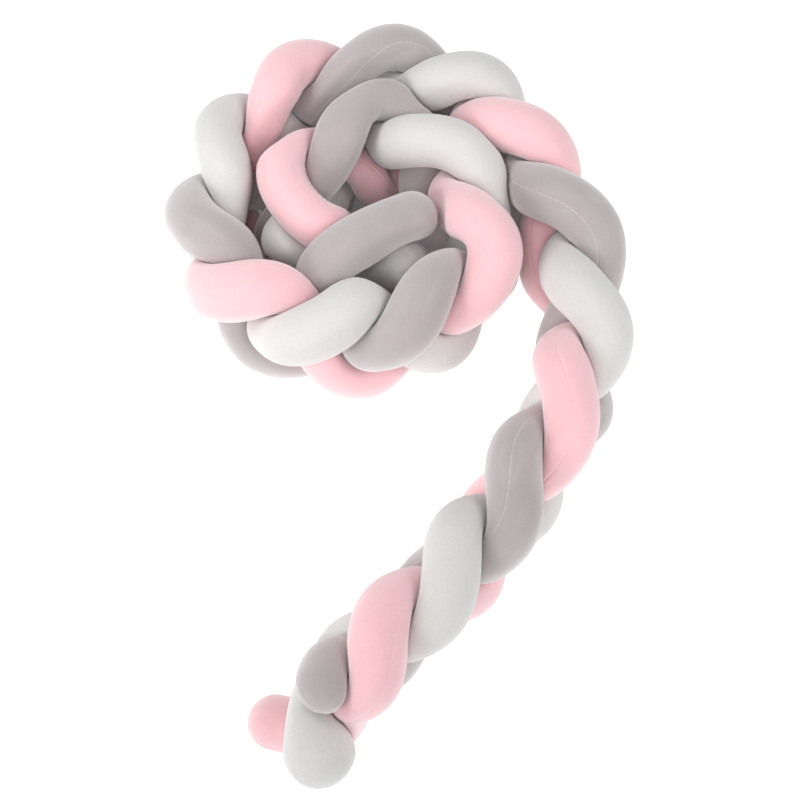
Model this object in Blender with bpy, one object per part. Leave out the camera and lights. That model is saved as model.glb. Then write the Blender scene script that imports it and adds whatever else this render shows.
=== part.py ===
"""Braided crib bumper: three long stuffed tubes of velvet, plaited flat and coiled on edge with a loose tail.

Metres, +Z up. The plait stands on its narrow edge, as it does inside a cot, so that its width is upright.
The origin is on the floor, in the middle of the box round the whole piece.
"""

import math

import bmesh
import bpy
import numpy as np

MM = 0.001

# Driving dimensions. The tail is pulled a little tighter than the coil, so its tubes are slimmer there.
TUBE_R = {"tail": 0.0192, "coil": 0.0208}     # half of a stuffed tube's width where nothing presses it
SWING = {"tail": 0.0332, "coil": 0.0402}      # a tube's axis swings this far up and down in the plait
WEAVE = 0.0121                                # and this far to each side
SEAT = 0.0195                                 # height of a bottom loop's axis, in full tubes
SLACK_FROM, SLACK_TO = 4, 8                   # the rows of ROUTE between which tail turns into coil
GAP = 0.0003                                  # between neighbouring tubes

TUBES = ("white", "grey", "pink")
LOOPS = len(TUBES)                            # top loops in one full turn of the plait
COLOURS = {"white": (0.83, 0.83, 0.81), "grey": (0.47, 0.43, 0.44), "pink": (0.95, 0.63, 0.67)}

# The plait's middle line seen from above, from the loose end to the middle of the coil, in millimetres. A row
# for each loop over the top edge: where it stands, by how many degrees its top leans to the left of the way
# along, and how full the tubes are there, as a share of their usual half width. The rows belong to the tubes
# in turn: white, grey, pink, white and so on.
ROUTE = (
    # x    y   lean full
    (-50, -244, 0, 1.0),
    (-52, -217, -5, 1.0),
    (-19, -181, -9, 1.0),
    (34, -130, 0, 1.0),
    (77, -78, 0, 1.0),
    (119, -6, 5, 1.0),
    (135, 57, 0, 1.0),
    (121, 132, -4, 0.99),
    (82.5, 194.5, -4, 0.97),
    (45.5, 238.5, -3, 0.93),
    (-19, 256.5, -5, 0.94),
    (-86, 233.5, -10, 0.92),
    (-124, 182.5, -16, 0.88),
    (-133, 113, -11, 0.95),
    (-106, 67, -5, 1.0),
    (-44, 43, -1, 1.0),
    (15, 58, 0, 1.0),
    (60, 108, -4, 1.0),
    (30, 181, -7, 0.96),
    (-29.5, 209, -12, 0.9),
    (-88, 145, 0, 0.92),
    (-66, 88, 12, 0.96),
    (-47, 90, 10, 0.96),
)

# The ends come out of the plait. At this row a tube leaves its figure of eight. It keeps its heading for a
# share of the distance to a shoulder, and from there comes to the middle of its rounded tip. The tip has its
# own half width. Places and sizes are in millimetres.
ENDS = (
    # tube    end      row  kept  shoulder          tip             half width
    ("white", "loose", 1.75, 0.4, (-50, -215, 45), (-53, -246, 56), 23.5),
    ("white", "inner", 20.3, 0.3, (-42, 134, -10), (3, 100, 61), 21.0),
    ("grey", "loose", 1.55, 0.4, (-47, -198, 76), (-48, -206, 80), 18.6),
    ("grey", "inner", 20.6, 0.5, (-108, 66, 116), (8, 125, 92), 20.0),
    ("pink", "loose", 1.5, 0.4, (-33, -236, 14), (-86, -224, 18), 19.2),
    ("pink", "inner", 19.5, 0.6, (-81, 124, 99), (-51, 122, 80), 18.5),
)

# Mesh
SIDES = 18                                    # round a tube
STATIONS = 160                                # along a tube
CAP_RINGS = 5                                 # of these over each rounded end
SAMPLES = 24                                  # of an axis between two rows
TIP_SAMPLES = 7                               # of an axis over a rounded tip
HARDNESS = 9.0                                # how sharply a free side turns into a pressed one
NEXT_TURN = 0.11                              # a tube is pressed by its own parts further along than this
SAME_BEND = 0.01                              # parts further along than this keep its sections from crossing,
TIGHTEST = 0.85                               # which take this share of the room left to them
FULLEST = 1.11                                # a free side's most, as a share of the tube's own half width


def blend(name, t):
    """A size at the places t, from the tail's to the coil's."""
    share = np.clip((t - SLACK_FROM) / (SLACK_TO - SLACK_FROM), 0, 1)
    return name["tail"] + (name["coil"] - name["tail"]) * share * share * (3 - 2 * share)


def route(t):
    """The places t on a smooth curve through the rows of ROUTE, which runs straight on past its ends."""
    rows = np.array(ROUTE, float)
    before = [3 * rows[0] - 2 * rows[1], 2 * rows[0] - rows[1]]
    after = [2 * rows[-1] - rows[-2], 3 * rows[-1] - 2 * rows[-2]]
    rows = np.concatenate([before, rows, after])
    place = t + len(before)
    i = np.clip(np.floor(place).astype(int), 1, len(rows) - 3)
    f = (place - i)[:, None]
    a, b, c, d = rows[i - 1], rows[i], rows[i + 1], rows[i + 2]
    return b + 0.5 * f * (c - a + f * (2 * a - 5 * b + 4 * c - d + f * (3 * (b - c) + d - a)))


def plaited(tube, t):
    """A tube's axis at the places t: a flat figure of eight round the plait's middle line."""
    x, y, lean, full = route(t).T
    step = 0.001
    ahead = (route(t + step) - route(t - step))[:, :2]
    ahead /= np.linalg.norm(ahead, axis=1)[:, None]
    left = np.stack([-ahead[:, 1], ahead[:, 0], np.zeros(len(t))], axis=1)
    up = np.array([0.0, 0.0, 1.0])
    cosine, sine = np.cos(np.radians(lean))[:, None], np.sin(np.radians(lean))[:, None]
    tall = cosine * up + sine * left
    wide = cosine * left - sine * up
    swing = blend(SWING, t)[:, None]
    phase = (2 * math.pi * (t - TUBES.index(tube)) / LOOPS)[:, None]
    middle = np.stack([x * MM, y * MM, SEAT * full], axis=1) + swing * cosine * up
    return middle + swing * np.cos(phase) * tall + WEAVE * np.sin(2 * phase) * wide


def bent_end(points, radius, kept, shoulder, tip, width):
    """A curve from the last of points, in its heading at first, to the middle of the rounded tip and over it.

    The free half width goes from radius to the tip's own along the curve.
    """
    heading = points[-1] - points[-2]
    heading = heading / np.linalg.norm(heading)
    knee = points[-1] + heading * kept * np.linalg.norm(shoulder - points[-1])
    f = np.linspace(0, 1, SAMPLES)[1:, None]
    back = 1 - f
    curve = back ** 3 * points[-1] + 3 * back * f * (back * knee + f * shoulder) + f ** 3 * tip
    last = (tip - shoulder) / np.linalg.norm(tip - shoulder)
    over = tip + last * width * np.linspace(0, 1, TIP_SAMPLES + 1)[1:, None]
    widths = np.append(radius + (width - radius) * f, np.full(TIP_SAMPLES, width))
    return np.concatenate([curve, over]), widths


def tube_axis(tube):
    """A tube's whole axis from its loose end to its inner end, and the tube's free half width along it."""
    ends = {end: (row, kept, np.array(shoulder) * MM, np.array(tip) * MM, width * MM)
            for name, end, row, kept, shoulder, tip, width in ENDS if name == tube}
    first, last = ends["loose"][0], ends["inner"][0]
    t = np.linspace(first, last, int((last - first) * SAMPLES))
    points = plaited(tube, t)
    radius = blend(TUBE_R, t) * route(t)[:, 3]
    loose, loose_radius = bent_end(points[::-1], radius[0], *ends["loose"][1:])
    inner, inner_radius = bent_end(points, radius[-1], *ends["inner"][1:])
    radius = np.concatenate([loose_radius[::-1], radius, inner_radius])
    return np.concatenate([loose[::-1], points, inner]), radius


def lengths(points):
    """The distance along a line of points to each of them."""
    return np.concatenate([[0], np.cumsum(np.linalg.norm(np.diff(points, axis=0), axis=1))])


def at_lengths(values, reached, at):
    """Rows of values, known at the distances reached, at the distances at."""
    return np.stack([np.interp(at, reached, column) for column in values.T], axis=1)


def stations(total, caps, count, cap_rings):
    """Distances along a tube for count + 1 sections, closer together over its rounded ends."""
    swing = np.linspace(0, math.pi / 2, cap_rings + 1)[:-1]
    start = 1 - np.cos(swing)
    middle = np.linspace(caps[0], total - caps[1], count + 1 - 2 * cap_rings)
    return np.concatenate([caps[0] * start, middle, total - caps[1] * start[::-1]])


def carried_frames(points):
    """Unit tangents, and two unit normals that don't twist along the line."""
    tangents = np.gradient(points, axis=0)
    tangents /= np.linalg.norm(tangents, axis=1)[:, None]
    normals = [np.cross(tangents[0], [0, 0, 1])]
    for tangent in tangents:
        n = normals[-1] - tangent * (normals[-1] @ tangent)
        normals.append(n / np.linalg.norm(n))
    normals = np.array(normals[1:])
    return tangents, normals, np.cross(tangents, normals)


def room(centres, directions, others):
    """How far each centre's section reaches in each direction before it is nearer to the points others."""
    away = others[None] - centres[:, None]
    apart = np.linalg.norm(away, axis=2)
    facing = np.maximum(np.einsum("sox,sdx->sdo", away, directions), 1e-9)
    half = 0.5 * apart * np.maximum(apart - GAP, 0)
    return (half[:, None, :] / facing).min(axis=2)


def neighbour(grid, rows, columns):
    """The grid moved so that each place holds its neighbour. The columns go round, the end rows repeat."""
    index = np.clip(np.arange(len(grid)) + rows, 0, len(grid) - 1)
    return np.roll(grid[index], -columns, axis=1)


def coarse_reach(centres, directions, reach):
    """The reach at every second row and column, drawn in where a straight edge would leave the fine shape."""
    points = centres[:, None] + reach[..., None] * directions
    outside = np.zeros(reach.shape)
    for step in ((1, 0), (0, 1), (1, 1), (1, -1), (-1, 0), (0, -1), (-1, -1), (-1, 1)):
        edge = (points + neighbour(points, 2 * step[0], 2 * step[1])) / 2
        middle = neighbour(points, *step)
        outward = neighbour(directions, *step)
        outside = np.maximum(outside, np.einsum("sdx,sdx->sd", edge - middle, outward))
    return (reach - outside)[::2, ::2]


def pressed(limits, free):
    """The reach under soft limits. What is pressed in on one side bulges on another, so the girth stays."""
    wide = free
    for _ in range(4):
        reach = (np.sum(limits ** -HARDNESS, axis=0) + wide[:, None] ** -HARDNESS) ** (-1 / HARDNESS)
        across = 2 * math.pi / reach.shape[1]
        after = np.roll(reach, -1, axis=1)
        girth = np.sqrt(reach ** 2 + after ** 2 - 2 * reach * after * math.cos(across)).sum(axis=1)
        wide = np.minimum(wide * 2 * math.pi * free / girth, FULLEST * free)
        wide = np.convolve(np.pad(wide, 3, mode="edge"), np.ones(7) / 7, mode="valid")
    return (np.sum(limits ** -HARDNESS, axis=0) + wide[:, None] ** -HARDNESS) ** (-1 / HARDNESS)


def own_room(centres, directions, at, line, reached, least):
    """The room that a tube leaves itself, counting only what is further along it than least."""
    own = np.empty(directions.shape[:2])
    for i, place in enumerate(at):
        elsewhere = np.abs(reached - place) > least
        own[i] = room(centres[i:i + 1], directions[i:i + 1], line[elsewhere])[0]
    return own


def sections(tube, axes):
    """The tube's surface as a row of points for each station: round where free, flat where pressed."""
    line, radius = axes[tube]
    reached = lengths(line)
    caps = radius[0], radius[-1]
    at = stations(reached[-1], caps, STATIONS, CAP_RINGS)
    at = np.interp(np.arange(2 * STATIONS + 1) / 2, np.arange(STATIONS + 1), at)
    frames = [at_lengths(f, reached, at) for f in carried_frames(line)]
    tangents, normals, binormals = (f / np.linalg.norm(f, axis=1)[:, None] for f in frames)
    centres = at_lengths(line, reached, at)
    angles = 2 * math.pi * np.arange(2 * SIDES) / (2 * SIDES)
    directions = np.cos(angles)[:, None] * normals[:, None] + np.sin(angles)[:, None] * binormals[:, None]
    limits = [room(centres, directions, axes[other][0]) for other in TUBES if other != tube]
    limits.append(own_room(centres, directions, at, line, reached, NEXT_TURN))
    reach = pressed(np.array(limits), np.interp(at, reached, radius))
    from_tip = np.clip(np.minimum(at / caps[0], (at[-1] - at) / caps[1]), 0, 1)
    reach = reach * np.sqrt(1 - (1 - from_tip) ** 2)[:, None]
    reach = coarse_reach(centres, directions, reach)
    at, centres, directions = at[::2], centres[::2], directions[::2, ::2]
    reach = np.minimum(reach, TIGHTEST * own_room(centres, directions, at, line, reached, SAME_BEND))
    points = centres[:, None] + reach[..., None] * directions
    points[..., 2] = np.maximum(points[..., 2], 0)
    return points


def stuffed_tube(tube, axes):
    """One closed tube: a UV sphere whose rings become the sections and whose poles are the sewn tips."""
    rows = sections(tube, axes)
    bm = bmesh.new()
    bmesh.ops.create_uvsphere(bm, u_segments=SIDES, v_segments=STATIONS, radius=1.0)
    for vert in bm.verts:
        ring = round((1 - math.acos(max(-1.0, min(1.0, vert.co.z))) / math.pi) * STATIONS)
        side = round(math.atan2(vert.co.y, vert.co.x) * SIDES / (2 * math.pi)) % SIDES
        vert.co = rows[ring][side]
    mesh = bpy.data.meshes.new(tube)
    bm.to_mesh(mesh)
    bm.free()
    mesh.shade_smooth()
    made = bpy.data.objects.new("tube_" + tube, mesh)
    material = bpy.data.materials.new("velvet_" + tube)
    material.use_nodes = True
    shader = material.node_tree.nodes["Principled BSDF"]
    shader.inputs["Base Color"].default_value = (*COLOURS[tube], 1)
    shader.inputs["Roughness"].default_value = 0.9
    shader.inputs["Metallic"].default_value = 0.0
    mesh.materials.append(material)
    return made


def centred(objects):
    """Move the objects' meshes so that the middle of their common box is over the origin, on the floor."""
    corners = np.array([vert.co for obj in objects for vert in obj.data.vertices])
    low, high = corners.min(axis=0), corners.max(axis=0)
    for obj in objects:
        for vert in obj.data.vertices:
            vert.co.x -= (low[0] + high[0]) / 2
            vert.co.y -= (low[1] + high[1]) / 2


def main():
    for old in list(bpy.data.objects):
        bpy.data.objects.remove(old)
    collection = bpy.data.collections.new("crib_bumper")
    bpy.context.scene.collection.children.link(collection)
    axes = {tube: tube_axis(tube) for tube in TUBES}
    made = [stuffed_tube(tube, axes) for tube in TUBES]
    centred(made)
    for obj in made:
        collection.objects.link(obj)


main()
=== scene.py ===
"""Looks of the braided crib bumper: three stuffed velvet tubes, plaited flat and coiled on edge.

Metres, +Z up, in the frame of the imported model. The tubes follow the same route and the same plait as the
solids, but for the white tube's loose end, which lies a little higher here. Their surface is finer: side
seams, folds inside the bends, pleated ends and a short soft pile.
"""

import math

import bpy
import numpy as np
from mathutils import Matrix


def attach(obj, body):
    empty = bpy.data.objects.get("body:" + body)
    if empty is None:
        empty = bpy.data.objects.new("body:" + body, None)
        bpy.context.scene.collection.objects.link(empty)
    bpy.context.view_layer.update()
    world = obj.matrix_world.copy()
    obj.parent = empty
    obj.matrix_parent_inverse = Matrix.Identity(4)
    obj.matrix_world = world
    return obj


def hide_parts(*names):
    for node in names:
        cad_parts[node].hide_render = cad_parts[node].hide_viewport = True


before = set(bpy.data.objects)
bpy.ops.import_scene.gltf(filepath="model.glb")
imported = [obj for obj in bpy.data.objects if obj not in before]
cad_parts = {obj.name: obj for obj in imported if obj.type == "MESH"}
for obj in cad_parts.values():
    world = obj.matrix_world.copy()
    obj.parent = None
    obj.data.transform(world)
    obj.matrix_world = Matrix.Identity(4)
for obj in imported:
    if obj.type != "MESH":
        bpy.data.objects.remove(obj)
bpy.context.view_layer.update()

MM = 0.001

# ---------------------------------------------------------------------------------------------------------
# The plait, as in the solids
# ---------------------------------------------------------------------------------------------------------

TUBE_R = {"tail": 0.0192, "coil": 0.0208}     # half of a stuffed tube's width where nothing presses it
SWING = {"tail": 0.0332, "coil": 0.0402}      # a tube's axis swings this far up and down in the plait
WEAVE = 0.0121                                # and this far to each side
SEAT = 0.0195                                 # height of a bottom loop's axis, in full tubes
SLACK_FROM, SLACK_TO = 4, 8                   # the rows of ROUTE between which tail turns into coil
GAP = 0.0003                                  # between neighbouring tubes

TUBES = ("white", "grey", "pink")
LOOPS = len(TUBES)                            # top loops in one full turn of the plait

# The plait's middle line seen from above, in millimetres. A row for each loop over the top edge: where it
# stands, by how many degrees its top leans to the left of the way along, and how full the tubes are there.
ROUTE = (
    # x    y   lean full
    (-50, -244, 0, 1.0),
    (-52, -217, -5, 1.0),
    (-19, -181, -9, 1.0),
    (34, -130, 0, 1.0),
    (77, -78, 0, 1.0),
    (119, -6, 5, 1.0),
    (135, 57, 0, 1.0),
    (121, 132, -4, 0.99),
    (82.5, 194.5, -4, 0.97),
    (45.5, 238.5, -3, 0.93),
    (-19, 256.5, -5, 0.94),
    (-86, 233.5, -10, 0.92),
    (-124, 182.5, -16, 0.88),
    (-133, 113, -11, 0.95),
    (-106, 67, -5, 1.0),
    (-44, 43, -1, 1.0),
    (15, 58, 0, 1.0),
    (60, 108, -4, 1.0),
    (30, 181, -7, 0.96),
    (-29.5, 209, -12, 0.9),
    (-88, 145, 0, 0.92),
    (-66, 88, 12, 0.96),
    (-47, 90, 10, 0.96),
)

# The ends: the row at which a tube leaves its figure of eight, the share of the distance to a shoulder for
# which it keeps its heading, the shoulder, the middle of its rounded tip and the tip's own half width, in mm.
ENDS = (
    # tube    end      row  kept  shoulder          tip             half width
    ("white", "loose", 1.75, 0.4, (-51, -212, 57), (-53, -246, 56), 23.5),
    ("white", "inner", 20.3, 0.3, (-42, 134, -10), (3, 100, 61), 21.0),
    ("grey", "loose", 1.55, 0.4, (-47, -198, 76), (-48, -206, 80), 18.6),
    ("grey", "inner", 20.6, 0.5, (-108, 66, 116), (8, 125, 92), 20.0),
    ("pink", "loose", 1.5, 0.4, (-33, -236, 14), (-86, -224, 18), 19.2),
    ("pink", "inner", 19.5, 0.6, (-81, 124, 99), (-51, 122, 80), 18.5),
)
MIDDLE = (-2.45, 9.72)                        # of the box round the plait, in the route's millimetres

SAMPLES = 24                                  # of an axis between two rows
TIP_SAMPLES = 7                               # of an axis over a rounded tip
BLUNT = 4                                     # of which this many, nearest its end, press no other tube

# ---------------------------------------------------------------------------------------------------------
# How a tube gives way. Spans count stations along it.
# ---------------------------------------------------------------------------------------------------------

HARDNESS = 11.0                               # how sharply a free side turns into a pressed one
NEXT_TURN = 0.11                              # a tube is pressed by its own parts further along than this
FULLEST = 1.11                                # a free side's most, as a share of the tube's own half width
GIRTH_ROUNDS, GIRTH_SPAN = 4, 21              # of fitting its girth, each smoothed over this span
RIDGE, RIDGE_SPAN = 0.0003, 15                # a ridge across it stands no further out than this
SAME_BEND = 0.01                              # parts further along than this keep its sections from crossing,
TIGHTEST = 0.7                                # which take this share of the room left to them,
ROOMIEST = 3.0                                # and no room counts for more than so many half widths
LEAST_SPAN, ROOM_SPAN = 9, 7                  # the least room over the one span, smoothed over the other
BEND_SOFTNESS = 7.0                           # how sharply the inside of a bend turns into its sides
CURVE_SPAN, BEND_SPAN = 5, 9                  # over which its curving is smoothed, and again for the folds

# ---------------------------------------------------------------------------------------------------------
# The fine surface
# ---------------------------------------------------------------------------------------------------------

STATIONS = 900                                # along a tube
CAP_RINGS = 16                                # of these over each rounded end
SEAM_STRIP = 0.11                             # half of the strip of fine columns along a seam, in radians
STRIP_SIDES, OPEN_SIDES = 12, 92              # columns in that strip, and in the rest of the way round

# Each tube is one strip of velvet with one long side seam. By how many degrees the seam lies to the left of
# the tube's uppermost line, at rows of the route.
SEAMS = {
    "white": ((0, 165), (3, 150), (9, 200), (15, 160), (21, 190)),
    "grey": ((1, 110), (3.75, 26), (4.25, 4), (6.8, 28), (7.3, 42), (10, 20), (13, 150), (22, 185)),
    "pink": ((1.5, -60), (2.3, -38), (4.8, 2), (5.3, 20), (8, 120), (11, 72), (14, 120), (17, 110),
             (20, 70)),
}
SEAM_SPAN = 61                                # stations over which the seam's turns are smoothed
GATHERED = {"white": (), "grey": (), "pink": (11, 20)}    # rows round which the seam is drawn up more
SEAM_DEPTH, SEAM_WIDTH = 0.0005, 0.0007       # of the groove that the seam pulls in
SEAM_DRAW, SEAM_REACH = 0.0003, 0.0040        # and of the softer dip beside it
PUCKER_DEPTH, PUCKER_STEP = 0.00022, 0.0065   # of the small puckers along the seam,
PUCKER_REACH = 1.4                            # as far out as this many times the dip
PUCKER_WANDER = ((2.2, 0.031), (1.3, 0.012))  # how far their steps wander, in radians, and over what lengths
GATHER_DEPTH, GATHER_REACH = 0.0007, 0.45     # more of them where it is gathered, and over what part of a row
LUMP_DEPTH = 0.0006                           # of the filling's soft unevenness,
LUMP_WAVES, LUMP_LENGTHS = 16, (0.035, 0.12)  # made of so many waves of these lengths
CREASE_DEPTH = 0.0011                         # of the deepest folds inside a bend
CREASE_STEPS = (0.0055, 0.0110)               # between neighbouring folds
CREASE_WIDTHS = (0.0015, 0.0026)              # of a fold, along the tube
CREASE_SPREADS = (0.45, 0.95)                 # of a fold round the tube, in radians
CREASE_SHARES = (0.45, 1.0)                   # of the full depth
CREASE_SLANT = 0.0035                         # at most, in metres along for each radian round
CREASE_REACH = 0.012                          # along the tube to each side, past which a fold has no depth
CREASE_BENDS = (0.22, 0.5)                    # the bend where folds begin, and how much more for full depth
CREASE_MARGIN = 0.02                          # left without a fold at each of a tube's ends
PLEATS, PLEAT_DEPTH = 9, 0.0005               # gathered round each closed tip,
PLEAT_PLACE = 0.004                           # this far from its end
END_FADE = 0.012                              # over which the other detail fades out towards a tube's end
THINNEST = 0.02                               # of a section's reach, left under the deepest detail


def blend(name, t):
    """A size at the places t, from the tail's to the coil's."""
    share = np.clip((t - SLACK_FROM) / (SLACK_TO - SLACK_FROM), 0, 1)
    return name["tail"] + (name["coil"] - name["tail"]) * share * share * (3 - 2 * share)


def route(t):
    """The places t on a smooth curve through the rows of ROUTE, which runs straight on past its ends."""
    rows = np.array(ROUTE, float) - (*MIDDLE, 0, 0)
    before = [3 * rows[0] - 2 * rows[1], 2 * rows[0] - rows[1]]
    after = [2 * rows[-1] - rows[-2], 3 * rows[-1] - 2 * rows[-2]]
    rows = np.concatenate([before, rows, after])
    place = t + len(before)
    i = np.clip(np.floor(place).astype(int), 1, len(rows) - 3)
    f = (place - i)[:, None]
    a, b, c, d = rows[i - 1], rows[i], rows[i + 1], rows[i + 2]
    return b + 0.5 * f * (c - a + f * (2 * a - 5 * b + 4 * c - d + f * (3 * (b - c) + d - a)))


def plaited(tube, t):
    """A tube's axis at the places t: a flat figure of eight round the plait's middle line."""
    x, y, lean, full = route(t).T
    step = 0.001
    ahead = (route(t + step) - route(t - step))[:, :2]
    ahead /= np.linalg.norm(ahead, axis=1)[:, None]
    left = np.stack([-ahead[:, 1], ahead[:, 0], np.zeros(len(t))], axis=1)
    up = np.array([0.0, 0.0, 1.0])
    cosine, sine = np.cos(np.radians(lean))[:, None], np.sin(np.radians(lean))[:, None]
    tall = cosine * up + sine * left
    wide = cosine * left - sine * up
    swing = blend(SWING, t)[:, None]
    phase = (2 * math.pi * (t - TUBES.index(tube)) / LOOPS)[:, None]
    middle = np.stack([x * MM, y * MM, SEAT * full], axis=1) + swing * cosine * up
    return middle + swing * np.cos(phase) * tall + WEAVE * np.sin(2 * phase) * wide


def bent_end(points, radius, kept, shoulder, tip, width):
    """A curve from the last of points, in its heading at first, to the rounded tip's middle and over it."""
    heading = points[-1] - points[-2]
    heading = heading / np.linalg.norm(heading)
    knee = points[-1] + heading * kept * np.linalg.norm(shoulder - points[-1])
    f = np.linspace(0, 1, SAMPLES)[1:, None]
    back = 1 - f
    curve = back ** 3 * points[-1] + 3 * back * f * (back * knee + f * shoulder) + f ** 3 * tip
    last = (tip - shoulder) / np.linalg.norm(tip - shoulder)
    over = tip + last * width * np.linspace(0, 1, TIP_SAMPLES + 1)[1:, None]
    widths = np.append(radius + (width - radius) * f, np.full(TIP_SAMPLES, width))
    return np.concatenate([curve, over]), widths


def tube_axis(tube):
    """A tube's whole axis from its loose end to its inner end, its free half width and the rows along it."""
    shift = np.array([*MIDDLE, 0.0])
    ends = {end: (row, kept, (shoulder - shift) * MM, (tip - shift) * MM, width * MM)
            for name, end, row, kept, shoulder, tip, width in ENDS if name == tube}
    first, last = ends["loose"][0], ends["inner"][0]
    t = np.linspace(first, last, int((last - first) * SAMPLES))
    points = plaited(tube, t)
    radius = blend(TUBE_R, t) * route(t)[:, 3]
    loose, loose_radius = bent_end(points[::-1], radius[0], *ends["loose"][1:])
    inner, inner_radius = bent_end(points, radius[-1], *ends["inner"][1:])
    radius = np.concatenate([loose_radius[::-1], radius, inner_radius])
    rows = np.concatenate([first - np.arange(len(loose), 0, -1) / SAMPLES, t,
                           last + np.arange(1, len(inner) + 1) / SAMPLES])
    return np.concatenate([loose[::-1], points, inner]), radius, rows


def lengths(points):
    """The distance along a line of points to each of them."""
    return np.concatenate([[0], np.cumsum(np.linalg.norm(np.diff(points, axis=0), axis=1))])


def at_lengths(values, reached, at):
    """Rows of values, known at the distances reached, at the distances at."""
    return np.stack([np.interp(at, reached, column) for column in values.T], axis=1)


def stations(total, caps):
    """Distances along a tube for its sections, closer together over its rounded ends."""
    swing = np.linspace(0, math.pi / 2, CAP_RINGS + 1)[:-1]
    start = 1 - np.cos(swing)
    middle = np.linspace(caps[0], total - caps[1], STATIONS + 1 - 2 * CAP_RINGS)
    return np.concatenate([caps[0] * start, middle, total - caps[1] * start[::-1]])


def carried_frames(points):
    """Unit tangents, and two unit normals that don't twist along the line."""
    tangents = np.gradient(points, axis=0)
    tangents /= np.linalg.norm(tangents, axis=1)[:, None]
    normals = [np.cross(tangents[0], [0, 0, 1])]
    for tangent in tangents:
        n = normals[-1] - tangent * (normals[-1] @ tangent)
        normals.append(n / np.linalg.norm(n))
    normals = np.array(normals[1:])
    return tangents, normals, np.cross(tangents, normals)


def room(centres, directions, others, at=None, reached=None, least=0.0):
    """How far each section reaches in each direction before it is nearer to the points others.

    With at and reached, both on the same tube, only what is further along it than least counts.
    """
    found = np.empty(directions.shape[:2])
    for i, centre in enumerate(centres):
        near = others if at is None else others[np.abs(reached - at[i]) > least]
        away = near - centre
        apart = np.linalg.norm(away, axis=1)
        facing = np.maximum(directions[i] @ away.T, 1e-9)
        found[i] = (0.5 * apart * np.maximum(apart - GAP, 0) / facing).min(axis=1)
    return found


def pressed(limits, free, gaps):
    """The reach under soft limits. What is pressed in on one side bulges on another, so the girth stays.

    The gaps are the angles between neighbouring columns.
    """
    wide = free
    pressing = np.sum(limits ** -HARDNESS, axis=0)
    for _ in range(GIRTH_ROUNDS):
        reach = (pressing + wide[:, None] ** -HARDNESS) ** (-1 / HARDNESS)
        after = np.roll(reach, -1, axis=1)
        girth = np.sqrt(reach ** 2 + after ** 2 - 2 * reach * after * np.cos(gaps)).sum(axis=1)
        wide = np.minimum(wide * 2 * math.pi * free / girth, FULLEST * free)
        padded = np.pad(wide, GIRTH_SPAN // 2, mode="edge")
        wide = np.convolve(padded, np.ones(GIRTH_SPAN) / GIRTH_SPAN, mode="valid")
    return (pressing + wide[:, None] ** -HARDNESS) ** (-1 / HARDNESS)


def neighbours(values, count):
    """The values, moved along the first axis so that each meets its neighbours, count of them in all."""
    padded = np.pad(values, [(count // 2, count // 2)] + [(0, 0)] * (values.ndim - 1), mode="edge")
    return [padded[i:i + len(values)] for i in range(count)]


def smoothed(values, count):
    """The values along the first axis, each taken with its neighbours, count of them in all."""
    soft = np.hanning(count + 2)[1:-1]
    soft /= soft.sum()
    return sum(share * moved for share, moved in zip(soft, neighbours(values, count)))


def lowest(values, count):
    """The values along the first axis, each the lowest among its neighbours, count of them in all."""
    return np.min(neighbours(values, count), axis=0)


def hump(away):
    """1 where away is 0, falling softly to almost nothing at 2 on either side."""
    return np.exp(-away ** 2)


def seam_turns(tube, at, rows, tangents, normals, binormals):
    """The seam's angle from the carried normals at each station, on a smooth curve through SEAMS."""
    up = np.array([0.0, 0.0, 1.0])
    level = np.cross(up, tangents)
    over = np.unwrap(np.arctan2(binormals @ up, normals @ up))
    aside = np.cos(over + 1)[:, None] * normals + np.sin(over + 1)[:, None] * binormals
    leftward = np.where(np.einsum("sx,sx->s", level, aside) > 0, 1.0, -1.0)
    places = np.array([np.interp(row, rows, at) for row, _ in SEAMS[tube]])
    wanted = []
    for place, (_, degrees) in zip(places, SEAMS[tube]):
        i = min(np.searchsorted(at, place), len(at) - 1)
        angle = over[i] + leftward[i] * math.radians(degrees)
        if wanted:
            angle += 2 * math.pi * round((wanted[-1] - angle) / (2 * math.pi))
        wanted.append(angle)
    return smoothed(np.interp(at, places, wanted), SEAM_SPAN)


def seam_depths(tube, at, rows, off_seam):
    """Depths of the seam's groove, of the dip beside it and of the puckers along it."""
    phase = 2 * math.pi * at / PUCKER_STEP
    for wander, length in PUCKER_WANDER:
        phase = phase + wander * np.sin(at / length)
    puckers = 0.5 + 0.5 * np.cos(phase)
    for row in GATHERED[tube]:
        puckers = puckers * (1 + GATHER_DEPTH / PUCKER_DEPTH * hump((rows - row) / GATHER_REACH))
    depth = SEAM_DEPTH * hump(off_seam / SEAM_WIDTH) + SEAM_DRAW * hump(off_seam / SEAM_REACH)
    return depth + PUCKER_DEPTH * puckers[:, None] * hump(off_seam / (PUCKER_REACH * SEAM_REACH))


def lumps(at, angles, rng):
    """The filling's soft unevenness over the tube, from 0 to 1."""
    height = np.zeros((len(at), len(angles)))
    for _ in range(LUMP_WAVES):
        around = rng.integers(0, 4)
        wave = rng.uniform(*LUMP_LENGTHS)
        height += np.cos(2 * math.pi * at[:, None] / wave + around * angles + rng.uniform(0, 2 * math.pi))
    return 0.5 + 0.5 * np.tanh(height / 4)


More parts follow.
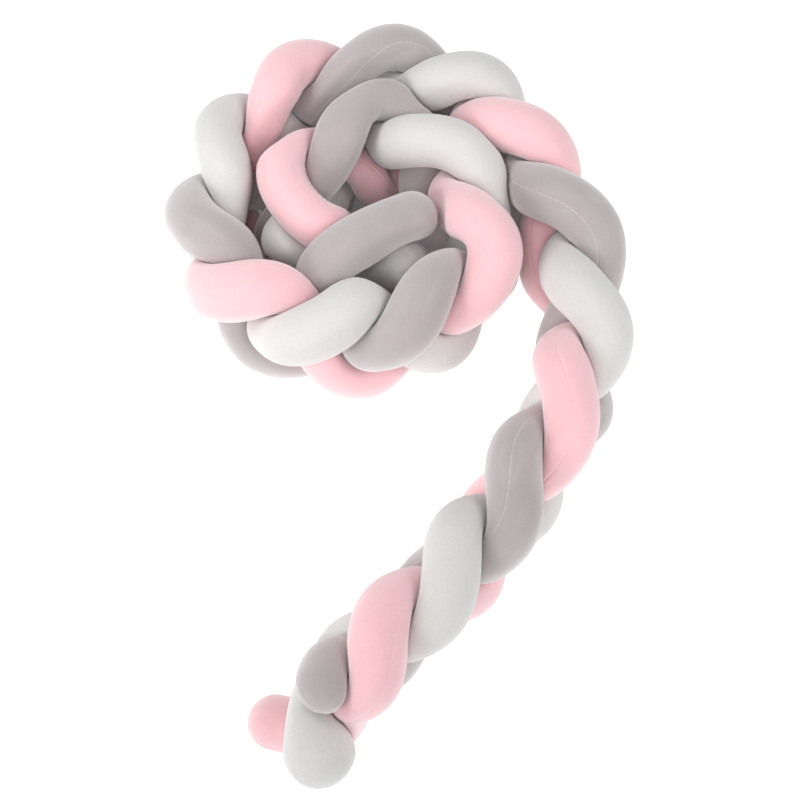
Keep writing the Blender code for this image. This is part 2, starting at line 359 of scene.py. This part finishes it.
def folds(at, bend, rng):
    """Depths of the folds that gather inside the bends. The bend is curvature times half width, signed."""
    depth = np.zeros(bend.shape)
    held = np.clip((bend - CREASE_BENDS[0]) / CREASE_BENDS[1], 0, 1)
    held = held * held * (3 - 2 * held)
    deepest = bend.argmax(axis=1)
    place = at[0] + CREASE_MARGIN
    while place < at[-1] - CREASE_MARGIN:
        middle = np.searchsorted(at, place)
        width, slant = rng.uniform(*CREASE_WIDTHS), rng.uniform(-CREASE_SLANT, CREASE_SLANT)
        spread, deep = rng.uniform(*CREASE_SPREADS), rng.uniform(*CREASE_SHARES)
        near = np.abs(at - place) < CREASE_REACH
        across = ANGLES - ANGLES[deepest[middle]] - rng.normal(0, 0.2)
        across = (across + math.pi) % (2 * math.pi) - math.pi
        profile = hump((at[near][:, None] - place - slant * across) / width)
        profile *= hump(across / spread)
        depth[near] = np.maximum(depth[near], deep * profile)
        place += rng.uniform(*CREASE_STEPS)
    return CREASE_DEPTH * depth * held


def seam_columns():
    """Angles of the columns round a tube, from its seam: close together beside it."""
    strip = np.linspace(-SEAM_STRIP, SEAM_STRIP, STRIP_SIDES + 1)
    rest = np.linspace(SEAM_STRIP, 2 * math.pi - SEAM_STRIP, OPEN_SIDES + 1)[1:-1]
    return np.concatenate([strip, rest])


ANGLES = seam_columns()


def surface(tube, axes):
    """A row of points for each station of a tube, and each point's distances from the seam and along."""
    line, radius, rows = axes[tube]
    rng = np.random.default_rng(TUBES.index(tube) + 5)
    reached = lengths(line)
    caps = radius[0], radius[-1]
    at = stations(reached[-1], caps)
    frames = [at_lengths(f, reached, at) for f in carried_frames(line)]
    tangents, normals, binormals = (f / np.linalg.norm(f, axis=1)[:, None] for f in frames)
    centres = at_lengths(line, reached, at)
    free = np.interp(at, reached, radius)
    along_rows = np.interp(at, reached, rows)
    turns = seam_turns(tube, at, along_rows, tangents, normals, binormals)
    angles = turns[:, None] + ANGLES
    directions = np.cos(angles)[..., None] * normals[:, None] + np.sin(angles)[..., None] * binormals[:, None]
    limits = [room(centres, directions, axes[other][0][BLUNT:-BLUNT]) for other in TUBES if other != tube]
    limits.append(room(centres, directions, line, at, reached, NEXT_TURN))
    gaps = np.diff(ANGLES, append=ANGLES[0] + 2 * math.pi)
    reach = pressed(np.array(limits), free, gaps)
    reach = np.minimum(reach, smoothed(reach, RIDGE_SPAN) + RIDGE)
    from_tip = np.clip(np.minimum(at / caps[0], (at[-1] - at) / caps[1]), 0, 1)
    reach = reach * np.sqrt(1 - (1 - from_tip) ** 2)[:, None]

    curve = np.einsum("sx,sdx->sd", smoothed(np.gradient(tangents, at, axis=0), CURVE_SPAN), directions)
    own = np.minimum(room(centres, directions, line, at, reached, SAME_BEND), 1 / np.maximum(curve, 1e-6))
    own = TIGHTEST * smoothed(lowest(np.minimum(own, ROOMIEST * free[:, None]), LEAST_SPAN), ROOM_SPAN)
    reach = np.maximum(reach, 1e-6)
    reach = (reach ** -BEND_SOFTNESS + own ** -BEND_SOFTNESS) ** (-1 / BEND_SOFTNESS)

    around = (ANGLES + math.pi) % (2 * math.pi) - math.pi
    off_seam = np.abs(around) * free[:, None]
    from_end = np.minimum(at, at[-1] - at)[:, None]
    depth = seam_depths(tube, at, along_rows, off_seam)
    depth += LUMP_DEPTH * lumps(at, ANGLES, rng)
    depth += folds(at, smoothed(curve, BEND_SPAN) * free[:, None], rng)
    depth *= np.clip(from_end / END_FADE, 0, 1)
    pleats = 0.5 + 0.5 * np.cos(PLEATS * ANGLES + 0.8 * np.sin(3 * ANGLES))
    depth += PLEAT_DEPTH * pleats * hump((from_end - PLEAT_PLACE) / PLEAT_PLACE)
    reach = np.maximum(reach - depth, THINNEST * reach)

    points = centres[:, None] + reach[..., None] * directions
    points[..., 2] = np.maximum(points[..., 2], 0)
    return points, off_seam, np.broadcast_to(at[:, None], off_seam.shape)


def without_poles(grid):
    """The values of a grid of stations in the order of the mesh's points. A tip's row becomes one point."""
    return np.concatenate([grid[:1, 0], grid[1:-1].reshape(-1, *grid.shape[2:]), grid[-1:, 0]])


def tube_mesh(name, rows, off_seam, along):
    """A closed mesh over rows of points, which remembers the distances from its seam and along the tube."""
    count, sides = rows.shape[:2]
    points = without_poles(rows)
    ring = 1 + np.arange((count - 2) * sides).reshape(count - 2, sides)
    after = np.roll(ring, -1, axis=1)
    quads = np.stack([ring[:-1], ring[1:], after[1:], after[:-1]], axis=-1).reshape(-1, 4)
    first = np.stack([np.zeros(sides, int), ring[0], after[0]], axis=-1)
    last = np.stack([np.full(sides, len(points) - 1), after[-1], ring[-1]], axis=-1)
    mesh = bpy.data.meshes.new(name)
    mesh.from_pydata(points.tolist(), [], first.tolist() + quads.tolist() + last.tolist())
    for key, values in (("off_seam", off_seam), ("along", along)):
        mesh.attributes.new(key, "FLOAT", "POINT").data.foreach_set("value", without_poles(values).ravel())
    mesh.shade_smooth()
    return mesh


def stuffed_tube(tube, axes):
    mesh = tube_mesh("velvet_tube_" + tube, *surface(tube, axes))
    made = bpy.data.objects.new("velvet_tube_" + tube, mesh)
    bpy.context.scene.collection.objects.link(made)
    mesh.materials.append(velvet(tube))
    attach(made, "root")
    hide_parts("tube_" + tube)
    return made


# ---------------------------------------------------------------------------------------------------------
# Materials
# ---------------------------------------------------------------------------------------------------------

# A tube's colour, the sheen of its pile's tips, how much lighter the pile is where it is brushed flat, and
# how much lighter it looks where the seam parts it.
FINISHES = {
    # tube     colour                 sheen brushed seam
    "white": ((0.675, 0.667, 0.652), 0.6, 0.06, 0.15),
    "grey": ((0.418, 0.366, 0.373), 0.9, 0.15, 0.32),
    "pink": ((0.955, 0.545, 0.580), 0.85, 0.08, 0.16),
}
DEEPER = 0.35                                 # in the nap's dips, as a share of brushed
NAP, TUFTS, PILE = 24.0, 900.0, 2600.0        # how fine the nap's marks, the tufts and the pile are
STREAKS = (30.0, 75.0)                        # how fine the brushed streaks are along a tube and round it
NAP_BUMP, STREAK_BUMP, PILE_BUMP = 0.0010, 0.0003, 0.0001
ROUGHNESS = (0.96, 0.84)                      # in the nap's dips and on its tops
STITCH = 0.0034                               # from one stitch of a seam to the next
STITCH_ENDS = (0.0003, 0.0008)                # between these distances from a stitch's end it comes to show
PARTED = (0.0002, 0.0007)                     # between these distances from the seam the pile closes again


def node(tree, kind, settings=None, **inputs):
    """A new node. Settings are its own fields.

    An input goes by its name, or by _ and its number, and takes a value or a socket to be linked to it.
    """
    made = tree.nodes.new("ShaderNode" + kind)
    for name, value in (settings or {}).items():
        setattr(made, name, value)
    for name, value in inputs.items():
        socket = made.inputs[int(name[1:])] if name[0] == "_" else made.inputs[name.replace("_", " ")]
        if isinstance(value, bpy.types.NodeSocket):
            tree.links.new(value, socket)
        else:
            socket.default_value = value
    return made


def noise(tree, where, scale, detail, roughness, distortion=0.0):
    return node(tree, "TexNoise", Vector=where, Scale=scale, Detail=detail, Roughness=roughness,
                Distortion=distortion).outputs["Fac"]


def ramp(tree, value, low, high, out_low=0.0, out_high=1.0):
    """The value from low to high, smoothly, as a number from out_low to out_high."""
    made = node(tree, "MapRange", {"interpolation_type": "SMOOTHSTEP"}, Value=value)
    for name, number in (("From Min", low), ("From Max", high), ("To Min", out_low), ("To Max", out_high)):
        made.inputs[name].default_value = number
    return made.outputs["Result"]


def times(tree, a, b):
    return node(tree, "Math", {"operation": "MULTIPLY"}, _0=a, _1=b).outputs[0]


def mixed(tree, share, a, b, blend_type="MIX"):
    made = node(tree, "MixRGB", {"blend_type": blend_type}, Fac=share)
    for name, colour in (("Color1", a), ("Color2", b)):
        if isinstance(colour, bpy.types.NodeSocket):
            tree.links.new(colour, made.inputs[name])
        else:
            made.inputs[name].default_value = (*colour, 1)
    return made.outputs["Color"]


def bumped(tree, height, depth, under=None):
    """A normal with the height, in metres of depth, over the bumps that are there already."""
    made = node(tree, "Bump", Height=height, Distance=depth, Strength=1.0)
    if under is not None:
        tree.links.new(under, made.inputs["Normal"])
    return made.outputs["Normal"]


def velvet(tube):
    """Short-pile velvet: soft nap marks, brushed streaks, fine pile, and a seam with its stitches."""
    material = bpy.data.materials.new("velvet_" + tube)
    material.use_nodes = True
    tree = material.node_tree
    shader = tree.nodes["Principled BSDF"]
    colour, sheen, brushed, seam_shows = FINISHES[tube]
    light = tuple(c + (1 - c) * brushed for c in colour)
    deep = tuple(c * (1 - DEEPER * brushed) for c in colour)

    where = node(tree, "TexCoord").outputs["Object"]
    off_seam = node(tree, "Attribute", {"attribute_name": "off_seam"}).outputs["Fac"]
    along = node(tree, "Attribute", {"attribute_name": "along"}).outputs["Fac"]
    stretched = times(tree, along, STREAKS[0]), times(tree, off_seam, STREAKS[1])
    laid = node(tree, "CombineXYZ", X=stretched[0], Y=stretched[1]).outputs[0]

    nap = noise(tree, where, NAP, 2.0, 0.45, 0.6)
    streaks = noise(tree, laid, 1.0, 3.0, 0.5, 0.8)
    tufts = noise(tree, where, TUFTS, 2.0, 0.5)
    pile = noise(tree, where, PILE, 2.0, 0.6)

    shade = mixed(tree, ramp(tree, nap, 0.35, 0.65), deep, colour)
    shade = mixed(tree, ramp(tree, streaks, 0.52, 0.72, 0.0, 0.35), shade, light)
    shade = mixed(tree, ramp(tree, tufts, 0.3, 0.7, 0.05, 0.0), shade, (0.0, 0.0, 0.0))
    shade = mixed(tree, ramp(tree, pile, 0.3, 0.7, 0.10, 0.0), shade, (0.0, 0.0, 0.0))

    beat = node(tree, "Math", {"operation": "PINGPONG"}, _0=along, _1=STITCH / 2).outputs[0]
    stitch = ramp(tree, beat, *STITCH_ENDS, 0.4, 1.0)
    parted = ramp(tree, off_seam, *PARTED, seam_shows, 0.0)
    shade = mixed(tree, times(tree, parted, stitch), shade, tuple(0.5 * c + 0.5 for c in colour))
    tree.links.new(shade, shader.inputs["Base Color"])

    tree.links.new(ramp(tree, nap, 0.35, 0.7, *ROUGHNESS), shader.inputs["Roughness"])
    normal = None
    for height, depth in ((nap, NAP_BUMP), (streaks, STREAK_BUMP), (tufts, PILE_BUMP), (pile, PILE_BUMP)):
        normal = bumped(tree, height, depth, normal)
    tree.links.new(normal, shader.inputs["Normal"])

    shader.inputs["Specular IOR Level"].default_value = 0.15
    shader.inputs["Sheen Weight"].default_value = sheen
    shader.inputs["Sheen Roughness"].default_value = 0.65
    shader.inputs["Sheen Tint"].default_value = (1, 1, 1, 1)
    return material


# ---------------------------------------------------------------------------------------------------------
# Floor, light and camera
# ---------------------------------------------------------------------------------------------------------

CAMERA_ELEVATION = 70.2                       # degrees above the floor
CAMERA_DISTANCE = 0.90                        # from the point looked at
LOOKED_AT = (0.0022, -0.0096, 0.05)
LENS = 55.9                                   # millimetres, on a sensor 36 mm wide
# The floor's glow is painted light: it washes out shadows and lights the tubes from below, but not inside the
# coil's core.
FLOOR_SIZE, FLOOR_PAINTED_GLOW = 12, 0.64
COIL_CORE, CORE_REACH = (-0.03, 0.135, 0.0), (0.08, 0.13)    # the floor glows only further out than this
BACKDROP_GLOW = (0.72, 0.02)                  # all round near the floor's edge, and overhead
BACKDROP_HEIGHT = (0.12, 0.55)                # sines of the heights between which it fades
COIL = (-0.03, 0.15, 0.08)
SOFT_LIGHTS = {
    # name     place                 turned to   diameter, watts and spread in degrees
    "front": ((-0.12, -0.68, 1.40), LOOKED_AT, 0.6, 7.8, 180),
    "near": ((-0.45, 0.25, 0.75), LOOKED_AT, 0.5, 2.7, 180),
    "right": ((0.85, -0.10, 0.90), COIL, 0.9, 1.25, 60),
    "left": ((-0.90, -0.50, 0.60), COIL, 0.9, 1.10, 60),
}


def camera():
    data = bpy.data.cameras.new("camera")
    data.lens = LENS
    data.sensor_width = 36
    data.clip_start = 0.01
    made = bpy.data.objects.new("camera", data)
    tilt = math.radians(CAMERA_ELEVATION)
    made.location = (LOOKED_AT[0], LOOKED_AT[1] - CAMERA_DISTANCE * math.cos(tilt),
                     LOOKED_AT[2] + CAMERA_DISTANCE * math.sin(tilt))
    made.rotation_euler = (math.pi / 2 - tilt, 0, 0)
    bpy.context.scene.collection.objects.link(made)
    bpy.context.scene.camera = made


def floor():
    """A pale floor with painted light: it glows a little, so no shadow shows, but not inside the coil, which
    stays dark.
    """
    bpy.ops.mesh.primitive_plane_add(size=FLOOR_SIZE)
    made = bpy.context.object
    made.name = "floor"
    material = bpy.data.materials.new("floor")
    material.use_nodes = True
    tree = material.node_tree
    shader = tree.nodes["Principled BSDF"]
    where = node(tree, "NewGeometry").outputs["Position"]
    off_core = node(tree, "VectorMath", {"operation": "DISTANCE"}, _0=where, _1=COIL_CORE).outputs["Value"]
    # painted light: the floor's glow, fading to none over the coil's core so the shade there stays dark
    painted_glow = ramp(tree, off_core, *CORE_REACH, 0.0, FLOOR_PAINTED_GLOW)
    tree.links.new(painted_glow, shader.inputs["Emission Strength"])
    shader.inputs["Base Color"].default_value = (0.8, 0.8, 0.8, 1)
    shader.inputs["Roughness"].default_value = 0.9
    shader.inputs["Emission Color"].default_value = (1, 1, 1, 1)
    made.data.materials.append(material)


def soft_light(name, place, aim, size, power, spread):
    data = bpy.data.lights.new(name, "AREA")
    data.shape = "DISK"
    data.size = size
    data.energy = power
    data.spread = math.radians(spread)
    made = bpy.data.objects.new(name, data)
    made.location = place
    towards = np.array(aim) - np.array(place)
    made.rotation_euler = (math.acos(-towards[2] / np.linalg.norm(towards)), 0,
                           math.atan2(towards[1], towards[0]) - math.pi / 2)
    bpy.context.scene.collection.objects.link(made)


def lights():
    world = bpy.data.worlds.new("studio")
    world.use_nodes = True
    tree = world.node_tree
    height = node(tree, "SeparateXYZ", Vector=node(tree, "TexCoord").outputs["Generated"]).outputs["Z"]
    back = tree.nodes["Background"]
    back.inputs["Color"].default_value = (1, 1, 1, 1)
    tree.links.new(ramp(tree, height, *BACKDROP_HEIGHT, *BACKDROP_GLOW), back.inputs["Strength"])
    bpy.context.scene.world = world
    bpy.context.scene.view_settings.view_transform = "Standard"
    for name, settings in SOFT_LIGHTS.items():
        soft_light(name, *settings)


axes = {tube: tube_axis(tube) for tube in TUBES}
for tube in TUBES:
    stuffed_tube(tube, axes)
floor()
lights()
camera()
